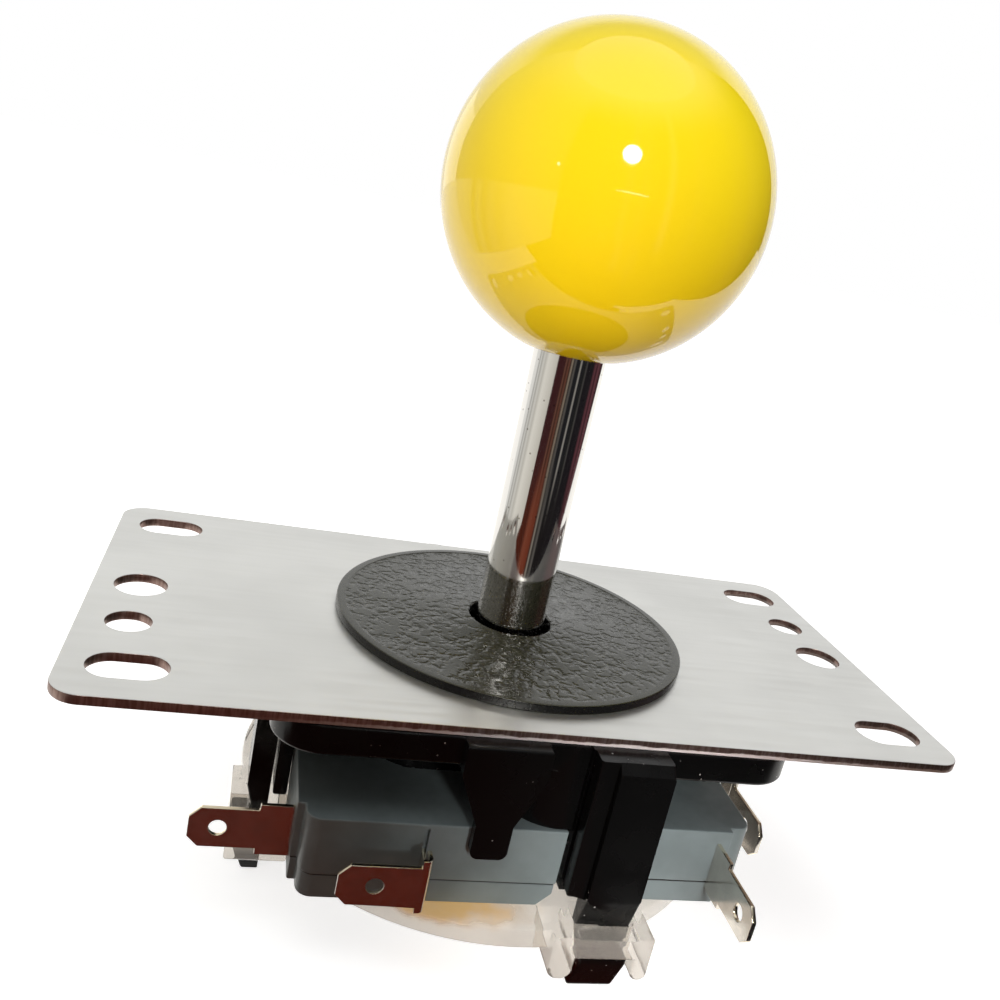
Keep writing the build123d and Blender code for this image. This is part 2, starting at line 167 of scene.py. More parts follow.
class Finish:
    """A material being made: its shader, and short ways to add nodes to it."""

    def __init__(self, name):
        self.material = bpy.data.materials.new(name)
        self.material.use_nodes = True
        self.tree = self.material.node_tree
        self.shader = self.tree.nodes["Principled BSDF"]
        self.coordinates = self.node("ShaderNodeTexCoord")
        self.place = self.coordinates.outputs["Object"]

    def node(self, kind, **settings):
        made = self.tree.nodes.new(kind)
        for name, value in settings.items():
            setattr(made, name, value)
        return made

    def link(self, source, target):
        self.tree.links.new(source, target)

    def constant(self, socket, value):
        """Plain value on one of the shader's own sockets."""
        self.shader.inputs[socket].default_value = value

    def drive(self, socket, source):
        self.link(source, self.shader.inputs[socket])

    def stretched(self, x=1.0, y=1.0, z=1.0):
        """Object coordinates scaled along each axis, so that a pattern is drawn out."""
        mapping = self.node("ShaderNodeMapping")
        mapping.inputs["Scale"].default_value = (x, y, z)
        self.link(self.place, mapping.inputs["Vector"])
        return mapping.outputs["Vector"]

    def noise(self, size, detail=3.0, place=None):
        """Cloudy pattern whose patches are about one size across."""
        texture = self.node("ShaderNodeTexNoise")
        texture.inputs["Scale"].default_value = 1.0 / size
        texture.inputs["Detail"].default_value = detail
        self.link(place or self.place, texture.inputs["Vector"])
        return texture.outputs["Fac"]

    def cells(self, size, feature="F1", place=None):
        """Distance pattern of scattered cells about one size across."""
        texture = self.node("ShaderNodeTexVoronoi", feature=feature)
        texture.inputs["Scale"].default_value = 1.0 / size
        self.link(place or self.place, texture.inputs["Vector"])
        return texture.outputs["Distance"]

    def shaken(self, size, amount, place=None):
        """Coordinates pushed about by a noise, so that a pattern wanders."""
        texture = self.node("ShaderNodeTexNoise")
        texture.inputs["Scale"].default_value = 1.0 / size
        self.link(place or self.place, texture.inputs["Vector"])
        push = self.node("ShaderNodeVectorMath", operation="MULTIPLY_ADD")
        self.link(texture.outputs["Color"], push.inputs[0])
        push.inputs[1].default_value = (amount, amount, amount)
        self.link(place or self.place, push.inputs[2])
        return push.outputs["Vector"]

    def ramp(self, value, start, end, low=0.0, high=1.0):
        """Value mapped smoothly from one range to another."""
        mapped = self.node("ShaderNodeMapRange", interpolation_type="SMOOTHSTEP")
        self.link(value, mapped.inputs["Value"])
        for name, amount in (("From Min", start), ("From Max", end), ("To Min", low), ("To Max", high)):
            mapped.inputs[name].default_value = amount
        return mapped.outputs["Result"]

    def math(self, operation, first, second):
        """One sum on a value and a value or number."""
        made = self.node("ShaderNodeMath", operation=operation)
        self.link(first, made.inputs[0])
        if isinstance(second, (int, float)):
            made.inputs[1].default_value = second
        else:
            self.link(second, made.inputs[1])
        return made.outputs["Value"]

    def blend(self, factor, low, high):
        """Colour between two others. Each is a colour or another node's output."""
        mixed = self.node("ShaderNodeMix", data_type="RGBA")
        self.link(factor, mixed.inputs["Factor"])
        for socket, colour in ((mixed.inputs[6], low), (mixed.inputs[7], high)):
            if hasattr(colour, "is_linked"):
                self.link(colour, socket)
            else:
                socket.default_value = (*colour, 1.0)
        return mixed.outputs[2]

    def relief(self, height, depth, strength=1.0):
        """Bump on the shader. Calls after the first build on the one before."""
        bump = self.node("ShaderNodeBump")
        bump.inputs["Strength"].default_value = strength
        bump.inputs["Distance"].default_value = depth
        self.link(height, bump.inputs["Height"])
        normal = self.shader.inputs["Normal"]
        if normal.is_linked:
            self.link(normal.links[0].from_socket, bump.inputs["Normal"])
        self.link(bump.outputs["Normal"], normal)

    def upward(self):
        """How far the surface faces up or down, from 0 on upright walls to 1 on level ones."""
        split = self.node("ShaderNodeSeparateXYZ")
        self.link(self.coordinates.outputs["Normal"], split.inputs["Vector"])
        return self.math("ABSOLUTE", split.outputs["Z"], 0)

    def axis(self, name):
        """One object coordinate."""
        split = self.node("ShaderNodeSeparateXYZ")
        self.link(self.place, split.inputs["Vector"])
        return split.outputs[name]

    def distance_to(self, point, squash=(1, 1, 1)):
        """Distance from a point, with each axis weighed."""
        mapping = self.node("ShaderNodeMapping", vector_type="TEXTURE")
        mapping.inputs["Location"].default_value = point
        mapping.inputs["Scale"].default_value = squash
        self.link(self.place, mapping.inputs["Vector"])
        reach = self.node("ShaderNodeVectorMath", operation="LENGTH")
        self.link(mapping.outputs["Vector"], reach.inputs[0])
        return reach.outputs["Value"]


def yellow_gloss():
    finish = Finish("yellow_gloss")
    cloud = finish.noise(14 * MM, detail=2)
    finish.drive("Base Color", finish.blend(cloud, colours().ball, colours().ball_shade))
    finish.drive("Roughness", finish.ramp(finish.noise(2 * MM), 0.3, 0.7, 0.03, 0.06))
    finish.constant("Specular IOR Level", 0.5)
    finish.constant("Coat Weight", 0.25)
    finish.constant("Coat Roughness", 0.03)
    finish.relief(finish.noise(3 * MM, detail=1), 0.01 * MM, 0.3)
    return finish.material


def bright_chrome():
    finish = Finish("bright_chrome")
    drawn = finish.noise(0.5 * MM, place=finish.stretched(1, 1, 0.03))
    specks = finish.ramp(finish.cells(1.3 * MM), 0.05, 0.12, 1, 0)
    finish.drive("Base Color", finish.blend(specks, (0.74, 0.73, 0.71), (0.36, 0.34, 0.32)))
    finish.drive("Roughness", finish.ramp(drawn, 0.3, 0.7, 0.04, 0.10))
    finish.constant("Metallic", 1.0)
    finish.relief(drawn, 0.004 * MM, 0.12)
    return finish.material


def grained_washer():
    """Black plastic with a leather grain of pebbles and broken creases inside a smooth rim; its level top
    is painted a lighter olive-grey that stands for the sheen it catches, its walls black.
    """
    finish = Finish("grained_washer")
    grain = sizes().grain
    wander = finish.shaken(1.6 * grain, 1.2 * grain)
    wander = finish.shaken(0.4 * grain, 0.4 * grain, wander)
    pebble = finish.ramp(finish.cells(grain, feature="DISTANCE_TO_EDGE", place=wander), 0.0, 0.30)
    broken = finish.ramp(finish.noise(1.1 * grain, detail=2), 0.38, 0.56)
    fine = finish.noise(0.25 * grain, detail=2)
    radius = finish.distance_to((0, 0, 0), (1, 1, 1000))
    field_edge = washer_high.x - sizes().washer_rim
    field = finish.ramp(radius, field_edge - 0.4 * MM, field_edge, 1, 0)
    depth = finish.math("MULTIPLY", broken, field)
    grains = finish.math("MULTIPLY", finish.math("SUBTRACT", pebble, 1.0), depth)
    # Painted sheen: level faces take the lighter olive-grey washer colours, upright walls the moulding's
    # black.
    wall = finish.ramp(finish.upward(), 0.3, 0.7, 1, 0)
    skin = finish.blend(fine, colours().washer, colours().washer_shade)
    finish.drive("Base Color", finish.blend(wall, skin, colours().moulding))
    finish.drive("Roughness", finish.ramp(fine, 0.3, 0.7, 0.20, 0.30))
    finish.constant("Specular IOR Level", 0.5)
    finish.relief(grains, sizes().grain_depth)
    finish.relief(fine, 0.015 * MM, 0.5)
    return finish.material


def zinc_plate():
    """Plated sheet: rolled streaks on the faces, a sheared and a torn band on the cut edges, whose
    reddish-brown is partly bare steel and partly a painted reflection of the brown room.
    """
    finish = Finish("zinc_plate")
    cut = finish.ramp(finish.upward(), 0.3, 0.7, 1, 0)
    rolled = finish.noise(0.8 * MM, detail=4, place=finish.stretched(0.06, 1, 1))
    cloud = finish.noise(18 * MM, detail=4)
    pale = tuple(min(1.0, 1.07 * channel) for channel in colours().plate)
    face = finish.blend(finish.ramp(cloud, 0.35, 0.65), colours().plate, pale)
    shear = finish.noise(0.3 * MM, detail=2, place=finish.stretched(1, 1, 0.15))
    ragged = finish.math("MULTIPLY", finish.noise(1.2 * MM, detail=3), 0.5 * MM)
    depth = finish.math("ADD", finish.axis("Z"), ragged)
    torn = finish.ramp(depth, -0.45 * MM, -0.30 * MM, 1, 0)
    # The torn band fades out towards -X, leaving the left end of the edge darker.
    torn = finish.math("MULTIPLY", torn, finish.ramp(finish.axis("X"), -34 * MM, -8 * MM))
    # Painted reflection: the cut edges' reddish-brown stands partly for the brown room they reflect.
    edge = finish.blend(finish.ramp(shear, 0.35, 0.75), colours().plate_cut_with_reflection, colours().plate_shear_with_reflection)
    edge = finish.blend(torn, edge, colours().plate_torn)
    finish.drive("Base Color", finish.blend(cut, face, edge))
    finish.drive("Roughness", finish.ramp(rolled, 0.3, 0.7, 0.30, 0.40))
    finish.drive("Metallic", finish.math("SUBTRACT", finish.ramp(cloud, 0.0, 1.0, 0.85, 0.9), torn))
    finish.relief(rolled, 0.006 * MM, 0.35)
    finish.relief(finish.math("MULTIPLY", shear, cut), 0.05 * MM, 0.7)
    return finish.material


def black_moulding():
    """Gloss black plastic with a fine skin and pale dust."""
    finish = Finish("black_moulding")
    speck = finish.ramp(finish.cells(1.1 * MM), 0.05, 0.10, 1, 0)
    patch = finish.ramp(finish.noise(6 * MM), 0.50, 0.58)
    dust = finish.math("MULTIPLY", speck, patch)
    finish.drive("Base Color", finish.blend(dust, colours().moulding, (0.40, 0.39, 0.37)))
    finish.drive("Roughness", finish.ramp(finish.noise(4 * MM), 0.35, 0.65, 0.18, 0.30))
    finish.constant("Specular IOR Level", 0.2)
    finish.relief(finish.noise(0.2 * MM, detail=2), 0.01 * MM, 0.3)
    return finish.material


def switch_plastic():
    """Blue-grey plastic with dirt along the seam between case and cover."""
    finish = Finish("switch_plastic")
    cloud = finish.noise(6 * MM, detail=4)
    deep = tuple(0.82 * channel for channel in colours().switch)
    skin = finish.blend(finish.ramp(cloud, 0.35, 0.65), colours().switch, deep)
    from_seam = finish.math("ABSOLUTE", finish.math("SUBTRACT", finish.axis("Z"), seam_height), 0)
    seam = finish.ramp(from_seam, 0.04 * MM, 0.16 * MM, 1, 0)
    finish.drive("Base Color", finish.blend(seam, skin, (0.012, 0.013, 0.013)))
    finish.drive("Roughness", finish.ramp(finish.noise(1.5 * MM), 0.3, 0.7, 0.36, 0.48))
    finish.constant("Specular IOR Level", 0.5)
    finish.relief(finish.noise(0.15 * MM, detail=2), 0.015 * MM, 0.4)
    finish.relief(finish.noise(3 * MM, detail=1), 0.05 * MM, 0.25)
    return finish.material


def clear_plastic():
    """Clear warm plastic with grease under the front of its plate."""
    finish = Finish("clear_plastic")
    grease_middle = (-7 * MM, 0.87 * gate_low.y, gate_high.z - 1.2 * MM)
    reach = finish.distance_to(grease_middle, (1.9, 0.7, 0.5))
    smear = finish.math("ADD", reach, finish.math("MULTIPLY", finish.noise(3 * MM), 3 * MM))
    grease = finish.ramp(smear, 5.0 * MM, 8.0 * MM, 1, 0)
    finish.drive("Base Color", finish.blend(grease, colours().clear, colours().grease))
    finish.drive("Roughness", finish.ramp(finish.noise(2.5 * MM), 0.35, 0.65, 0.06, 0.14))
    finish.drive("Transmission Weight", finish.ramp(grease, 0.0, 1.0, 0.82, 0.5))
    finish.constant("IOR", 1.12)
    finish.constant("Coat Weight", 0.8)
    finish.constant("Coat Roughness", 0.06)
    finish.relief(finish.noise(2.0 * MM, detail=2), 0.10 * MM, 0.5)
    return finish.material


def tinned_metal():
    """Tin-plated strip with paler cut edges."""
    finish = Finish("tinned_metal")
    cut = finish.ramp(finish.upward(), 0.25, 0.5)
    cloud = finish.noise(2.5 * MM, detail=4)
    dull = tuple(0.88 * channel for channel in colours().terminal)
    face = finish.blend(finish.ramp(cloud, 0.35, 0.65), colours().terminal, dull)
    finish.drive("Base Color", finish.blend(cut, face, colours().terminal_cut))
    rolled = finish.noise(0.35 * MM, detail=4)
    finish.drive("Roughness", finish.ramp(rolled, 0.3, 0.7, 0.14, 0.22))
    finish.constant("Metallic", 1.0)
    finish.relief(rolled, 0.004 * MM, 0.2)
    return finish.material


def plain_metal(name, colour, rough):
    """Drawn or stamped metal of the small inner pieces."""
    finish = Finish(name)
    drawn = finish.noise(0.3 * MM, detail=3)
    dull = tuple(0.8 * channel for channel in colour)
    finish.drive("Base Color", finish.blend(drawn, colour, dull))
    finish.drive("Roughness", finish.ramp(drawn, 0.3, 0.7, rough, rough + 0.12))
    finish.constant("Metallic", 1.0)
    finish.relief(drawn, 0.005 * MM, 0.3)
    return finish.material


def plain_plastic(name, colour, rough):
    """Moulded plastic of the small inner pieces."""
    finish = Finish(name)
    cloud = finish.noise(3 * MM, detail=3)
    deep = tuple(0.85 * channel for channel in colour)
    finish.drive("Base Color", finish.blend(cloud, colour, deep))
    finish.drive("Roughness", finish.ramp(cloud, 0.3, 0.7, rough, rough + 0.12))
    finish.relief(finish.noise(0.2 * MM, detail=2), 0.01 * MM, 0.4)
    return finish.material


# Modelling


MERGE_DISTANCE = 0.002 * MM
FLAT_ANGLE = math.radians(0.4)
FOLD_ANGLE = math.radians(3)
SHARP_ANGLE = math.radians(35)
CHAIN_ANGLE = math.radians(40)
EDGE_ROOM = 3.0
BODY_ROOM = 6.0


def make_active(piece):
    """Leaves one object selected and active, in object mode."""
    if bpy.context.object and bpy.context.object.mode != "OBJECT":
        bpy.ops.object.mode_set(mode="OBJECT")
    bpy.ops.object.select_all(action="DESELECT")
    piece.select_set(True)
    bpy.context.view_layer.objects.active = piece


def new_piece(name):
    """The primitive just added, named, with its place in its mesh."""
    piece = bpy.context.object
    piece.name = name
    piece.data.name = name
    bpy.ops.object.transform_apply(location=True, rotation=True, scale=True)
    return piece


def select_faces(piece, test):
    """Edit mode with the faces selected whose middle and normal pass the test."""
    make_active(piece)
    for part in (*piece.data.vertices, *piece.data.edges):
        part.select = False
    for face in piece.data.polygons:
        face.select = test(face.center, face.normal)
    bpy.context.tool_settings.mesh_select_mode = (False, False, True)
    bpy.ops.object.mode_set(mode="EDIT")


def select_edges(piece, test):
    """Edit mode with the edges selected whose two ends pass the test."""
    make_active(piece)
    for part in (*piece.data.vertices, *piece.data.polygons):
        part.select = False
    points = piece.data.vertices
    for edge in piece.data.edges:
        edge.select = all(test(points[index].co) for index in edge.vertices)
    bpy.context.tool_settings.mesh_select_mode = (False, True, False)
    bpy.ops.object.mode_set(mode="EDIT")


def smooth(piece):
    make_active(piece)
    bpy.ops.object.shade_smooth_by_angle(angle=SHARP_ANGLE)


def roomy_edges(mesh, room):
    """Sharp edges that meet no side edge shorter than the room at either end."""
    normals = {}
    for face in mesh.polygons:
        for key in face.edge_keys:
            normals.setdefault(key, []).append(face.normal)
    folds = {key: pair[0].angle(pair[-1], 0) for key, pair in normals.items()}
    edges_at = {}
    for edge in mesh.edges:
        for index in edge.vertices:
            edges_at.setdefault(index, []).append(edge)

    def away(edge, start):
        end = sum(edge.vertices) - start
        return mesh.vertices[end].co - mesh.vertices[start].co

    def clear(edge, start):
        onward = -away(edge, start)
        for side in edges_at[start]:
            if side.index == edge.index or folds[side.key] < FOLD_ANGLE:
                continue
            reach = away(side, start)
            if reach.length < room and onward.angle(reach, 0) > CHAIN_ANGLE:
                return False
        return True

    sharp = (edge for edge in mesh.edges if folds[edge.key] > SHARP_ANGLE)
    return [edge.index for edge in sharp if all(clear(edge, start) for start in edge.vertices)]


def soften(piece, width, room):
    """Rounds each sharp edge that has room at both ends, counted in widths."""
    make_active(piece)
    weights = piece.data.attributes.new("bevel_weight_edge", "FLOAT", "EDGE")
    for index in roomy_edges(piece.data, room * width):
        weights.data[index].value = 1.0
    edge = piece.modifiers.new("edge", "BEVEL")
    edge.width = width
    edge.segments = 2
    edge.limit_method = "WEIGHT"
    edge.use_clamp_overlap = False
    edge.loop_slide = False
    bpy.ops.object.modifier_apply(modifier=edge.name)
    smooth(piece)
    flat = piece.modifiers.new("flat", "WEIGHTED_NORMAL")
    flat.keep_sharp = True
    bpy.ops.object.modifier_apply(modifier=flat.name)


def node_copy(node, name, cut_faces=False):
    """Copy of a solid's mesh, merged into one closed skin of whole flat faces or of triangles."""
    mesh = frame["nodes"][node].data.copy()
    mesh.materials.clear()
    mesh.name = name
    piece = bpy.data.objects.new(name, mesh)
    bpy.context.scene.collection.objects.link(piece)
    make_active(piece)
    bpy.ops.mesh.customdata_custom_splitnormals_clear()
    bpy.ops.object.mode_set(mode="EDIT")
    bpy.ops.mesh.select_all(action="SELECT")
    bpy.ops.mesh.remove_doubles(threshold=MERGE_DISTANCE)
    bpy.ops.mesh.dissolve_limited(angle_limit=FLAT_ANGLE)
    if cut_faces:
        bpy.ops.mesh.quads_convert_to_tris(quad_method="BEAUTY", ngon_method="BEAUTY")
    bpy.ops.object.mode_set(mode="OBJECT")
    return piece


def stand_for(piece, node, finish):
    """Puts a finished piece in a solid's place, on the same body."""
    piece.data.materials.clear()
    piece.data.materials.append(finish)
    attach(piece, body_of_node[node])
    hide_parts(node)


def softened_node(node, name, width, finish, room=EDGE_ROOM, cut_faces=False):
    """A solid's own shape with rounded edges and a finish."""
    piece = node_copy(node, name, cut_faces)
    soften(piece, width, room)
    stand_for(piece, node, finish)


def dress_node(node, finish):
    """Finish on a solid that keeps its own mesh."""
    materials = frame["nodes"][node].data.materials
    materials.clear()
    materials.append(finish)


def turned_ring(name, profile, segments):
    """Closed ring turned about the lever's axis from (radius, height) points."""
    first_radius, first_height = profile[0]
    bpy.ops.object.select_all(action="DESELECT")
    bpy.ops.mesh.primitive_circle_add(
        vertices=segments, radius=first_radius, location=(0, 0, first_height)
    )
    piece = new_piece(name)
    bpy.context.tool_settings.mesh_select_mode = (False, True, False)
    bpy.ops.object.mode_set(mode="EDIT")
    bpy.ops.mesh.select_all(action="SELECT")
    for (radius, height), (next_radius, next_height) in zip(profile, profile[1:]):
        bpy.ops.mesh.extrude_edges_move(
            TRANSFORM_OT_translate={"value": (0, 0, next_height - height)}
        )
        factor = next_radius / radius
        bpy.ops.transform.resize(value=(factor, factor, 1), center_override=(0, 0, 0))
    last_radius, last_height = profile[-1]
    ends = ((first_radius, first_height), (last_radius, last_height))
    select_edges(piece, lambda point: on_ring(point, ends))
    bpy.ops.mesh.bridge_edge_loops()
    bpy.ops.mesh.select_all(action="SELECT")
    bpy.ops.mesh.normals_make_consistent(inside=False)
    bpy.ops.object.mode_set(mode="OBJECT")
    return piece


def on_ring(point, rings):
    """True where a point lies on one of the (radius, height) rings."""
    reach = math.hypot(point.x, point.y)
    near = 0.01 * MM
    return any(abs(reach - radius) < near and abs(point.z - height) < near for radius, height in rings)


# Pieces


BALL_SEGMENTS = 160
BALL_RINGS = 96
WASHER_SEGMENTS = 192
SEAT_EDGE = 0.3 * MM
SHAFT_EDGE = 0.12 * MM
CLIP_EDGE = 0.06 * MM
SCREW_EDGE = 0.05 * MM
ACTUATOR_EDGE = 0.15 * MM


class LEVER_OT_ball_top(bpy.types.Operator):
    """Gloss ball with its flat seat and the insert's bore"""

    bl_idname = "lever.ball_top"
    bl_label = "Ball top"

    def execute(self, context):
        radius = (ball_high.x - ball_low.x) / 2
        centre = ball_high.z - radius
        seat = ball_low.z
        seat_radius = math.sqrt(radius ** 2 - (centre - seat) ** 2)
        bore_radius = insert_high.x
        bpy.ops.object.select_all(action="DESELECT")
        bpy.ops.mesh.primitive_uv_sphere_add(
            segments=BALL_SEGMENTS, ring_count=BALL_RINGS, radius=radius, location=(0, 0, centre)
        )
        ball = new_piece("gloss_ball")
        bpy.ops.object.mode_set(mode="EDIT")
        bpy.ops.mesh.select_all(action="SELECT")
        bpy.ops.mesh.bisect(
            plane_co=(0, 0, seat), plane_no=(0, 0, 1), use_fill=True, clear_inner=True
        )
        select_faces(ball, lambda middle, normal: normal.z < -0.99 and middle.z < seat + 0.1 * MM)
        bpy.ops.mesh.inset(thickness=seat_radius - bore_radius)
        bpy.ops.mesh.extrude_region_move(
            TRANSFORM_OT_translate={"value": (0, 0, insert_high.z - seat)}
        )
        select_edges(ball, lambda point: on_ring(point, ((seat_radius, seat),)))
        bpy.ops.mesh.bevel(offset=SEAT_EDGE, segments=3)
        smooth(ball)
        stand_for(ball, "ball_top", yellow_gloss())
        return {"FINISHED"}


class LEVER_OT_shaft(bpy.types.Operator):
    """Bright shaft, with the clip in its groove"""

    bl_idname = "lever.shaft"
    bl_label = "Shaft"

    def execute(self, context):
        softened_node("lever_shaft", "bright_shaft", SHAFT_EDGE, bright_chrome())
        clip_metal = plain_metal("clip_metal", (0.34, 0.33, 0.33), 0.3)
        softened_node("retaining_clip", "shaft_clip", CLIP_EDGE, clip_metal)
        return {"FINISHED"}


class LEVER_OT_dust_washer(bpy.types.Operator):
    """Grained disc with a smooth rim and rounded edges"""

    bl_idname = "lever.dust_washer"
    bl_label = "Dust washer"

    def execute(self, context):
        rim = sizes().washer_rim
        outer = washer_high.x
        top = washer_high.z
        hole = self.hole_radius()
        edge = 0.15 * MM
        foot = 0.1 * MM
        lip = 0.5 * MM
        slope = 0.1 * MM
        sink = 0.05 * MM
        steps = 4
        profile = [(hole, 0), (outer - foot, 0), (outer, foot)]
        for step in range(steps + 1):
            turn = math.radians(90) * step / steps
            profile.append((outer - edge * (1 - math.cos(turn)), top - edge * (1 - math.sin(turn))))
        profile += [
            (outer - rim, top),
            (outer - rim - sink, top - sink),
            (hole + lip + slope, top - sink),
            (hole + lip, top),
            (hole + edge, top),
            (hole, top - edge),
        ]
        washer = turned_ring("grained_disc", profile, WASHER_SEGMENTS)
        smooth(washer)
        stand_for(washer, "dust_washer", grained_washer())
        return {"FINISHED"}

    def hole_radius(self):
        """Radius of the solid washer's hole."""
        points = frame["nodes"]["dust_washer"].data.vertices
        return min(math.hypot(point.co.x, point.co.y) for point in points)


class LEVER_OT_mounting_plate(bpy.types.Operator):
    """Plated sheet with slots and holes, and its screws"""

    bl_idname = "lever.mounting_plate"
    bl_label = "Mounting plate"

    def execute(self, context):
        softened_node("mounting_plate", "plated_sheet", sizes().sheet_edge, zinc_plate())
        screw_metal = plain_metal("screw_metal", (0.6, 0.59, 0.57), 0.28)
        softened_node("plate_screws", "countersunk_screws", SCREW_EDGE, screw_metal)
        return {"FINISHED"}


class LEVER_OT_moulded_body(bpy.types.Operator):
    """Black moulding that carries the switches"""

    bl_idname = "lever.moulded_body"
    bl_label = "Moulded body"

    def execute(self, context):
        edge = sizes().moulded_edge
        softened_node("main_body", "black_body", edge, black_moulding(), room=BODY_ROOM, cut_faces=True)
        return {"FINISHED"}


class LEVER_OT_switches(bpy.types.Operator):
    """Cases, covers and plungers of the four switches"""

    bl_idname = "lever.switches"
    bl_label = "Switches"

    def execute(self, context):
        plastic = switch_plastic()
        plunger_plastic = plain_plastic("plunger_plastic", (0.05, 0.05, 0.052), 0.35)
        edge = sizes().switch_edge
        for side in SIDES:
            softened_node(f"{side}_switch_case", f"{side}_case", edge, plastic)
            softened_node(f"{side}_switch_cover", f"{side}_cover", edge, plastic)
            softened_node(f"{side}_switch_plunger", f"{side}_plunger_pin", edge, plunger_plastic)
        return {"FINISHED"}


class LEVER_OT_terminals(bpy.types.Operator):
    """Push-on tabs of the four switches"""

    bl_idname = "lever.terminals"
    bl_label = "Terminals"

    def execute(self, context):
        metal = tinned_metal()
        for side in SIDES:
            for kind in ("com", "no"):
                node = f"{side}_switch_{kind}_terminal"
                softened_node(node, f"{side}_{kind}_tab", sizes().sheet_edge, metal)
        return {"FINISHED"}


class LEVER_OT_clear_gate(bpy.types.Operator):
    """Clear frame and the square gate inside it"""

    bl_idname = "lever.clear_gate"
    bl_label = "Clear gate"

    def execute(self, context):
        plastic = clear_plastic()
        softened_node("gate_frame", "clear_frame", sizes().moulded_edge, plastic)
        softened_node("restrictor_gate", "square_gate", sizes().moulded_edge, plastic)
        return {"FINISHED"}


class LEVER_OT_inner_parts(bpy.types.Operator):
    """Insert, pivot, spring, washer and actuator inside the body"""

    bl_idname = "lever.inner_parts"
    bl_label = "Inner parts"

    def execute(self, context):
        dress_node("ball_insert", plain_metal("insert_brass", (0.70, 0.52, 0.25), 0.25))
        dress_node("centering_spring", plain_metal("spring_steel", (0.5, 0.5, 0.5), 0.22))
        nylon = plain_plastic("white_nylon", (0.76, 0.74, 0.68), 0.4)
        dress_node("pivot_ball", nylon)
        dress_node("spring_washer", nylon)
        black = plain_plastic("actuator_black", (0.015, 0.015, 0.015), 0.35)
        softened_node("actuator", "black_actuator", ACTUATOR_EDGE, black)
        return {"FINISHED"}


# Stage


SHEET_SIZE = 6.0
FLOOR_GLOW = 0.75
FLOOR_COLOUR = (0.82, 0.82, 0.81)
FLOOR_BOUNCE = (0.30, 0.13, 0.06)
ROOM_RADIUS = 1.2
ROOM_HEIGHT = 2.4
ROOM_GLOW = (1.0, 2.4, 0.7)
BACK_GLOW = (0.85, 1.4, 0.4)
BRIGHT_WALL_RADIUS = 1.1
BRIGHT_WALL_HEIGHT = 0.40
BRIGHT_WALL_STRENGTH = 1.6
PAPER_STRENGTH = 1.2
PAPER_LIFT = 0.2 * MM
DARK_TABLE_LIFT = 0.3 * MM
STRIP_LIFT = 0.35 * MM
PALE_TABLE_LIFT = 0.4 * MM
WARM_WHITE = (1.0, 0.98, 0.94)
LAMP_WHITE = (1.0, 0.99, 0.96)
STRIP_PAINT = (0.072, 0.006, 0.001)
STRIP_LEFT = -70 * MM
STRIP_RIGHT = 14 * MM
STRIP_FRONT = -85 * MM
STRIP_BACK = -22 * MM
PALE_TABLE_RIGHT = -100 * MM
NEAR_REACH = 0.13
FAR_REACH = 0.22
DARK_STRIPES = (
    (-138, (0.045, 0.012, 0.014)),
    (-115, (0.045, 0.014, 0.014)),
    (-112, (0.160, 0.070, 0.045)),
    (-108, (0.040, 0.015, 0.012)),
    (-103, (0.140, 0.055, 0.035)),
    (-98, (0.030, 0.014, 0.012)),
    (-94, (0.300, 0.240, 0.180)),
    (-90, (0.020, 0.017, 0.016)),
    (-84, (0.110, 0.100, 0.090)),
    (-80, (0.014, 0.014, 0.016)),
    (-70, (0.014, 0.014, 0.016)),
    (-66, (0.350, 0.330, 0.300)),
    (-62, (0.014, 0.014, 0.016)),
    (-50, (0.012, 0.012, 0.012)),
    (-46, (0.070, 0.066, 0.062)),
    (-42, (0.012, 0.010, 0.012)),
    (-20, (0.012, 0.010, 0.012)),
    (-12, (0.120, 0.040, 0.050)),
    (-4, (0.040, 0.016, 0.020)),
    (3, (0.140, 0.050, 0.060)),
    (14, (0.050, 0.022, 0.026)),
)
NEAR_STRIPES = (
    (-170, (0.100, 0.022, 0.010)),
    (-124, (0.070, 0.016, 0.009)),
    (-116, (0.200, 0.055, 0.030)),
    (-100, (0.160, 0.036, 0.018)),
    (-95, (0.040, 0.012, 0.008)),
    (-91, (0.280, 0.250, 0.210)),
    (-87, (0.016, 0.013, 0.012)),
    (-79, (0.120, 0.110, 0.100)),
    (-75, (0.012, 0.010, 0.010)),
    (-20, (0.012, 0.010, 0.012)),
    (0, (0.100, 0.036, 0.042)),
)
PALE_STRIPES = (
    (-180, (0.60, 0.58, 0.53)),
    (-171, (0.84, 0.81, 0.74)),
    (-138, (0.62, 0.59, 0.53)),
    (130, (0.92, 0.91, 0.88)),
    (150, (0.88, 0.87, 0.84)),
    (155, (0.42, 0.41, 0.39)),
    (160, (0.78, 0.77, 0.73)),
    (166, (0.46, 0.45, 0.42)),
    (172, (0.74, 0.72, 0.67)),
    (180, (0.60, 0.58, 0.53)),
)
PALE_WALL = (
    (-180, (0.42, 0.40, 0.36)),
    (-150, (0.30, 0.28, 0.25)),
    (-138, (0.20, 0.18, 0.16)),
    (130, (0.55, 0.54, 0.51)),
    (180, (0.42, 0.40, 0.36)),
)
BACK_WALL = (
    (34, (1.0, 1.0, 1.0)),
    (130, (1.0, 1.0, 1.0)),
)


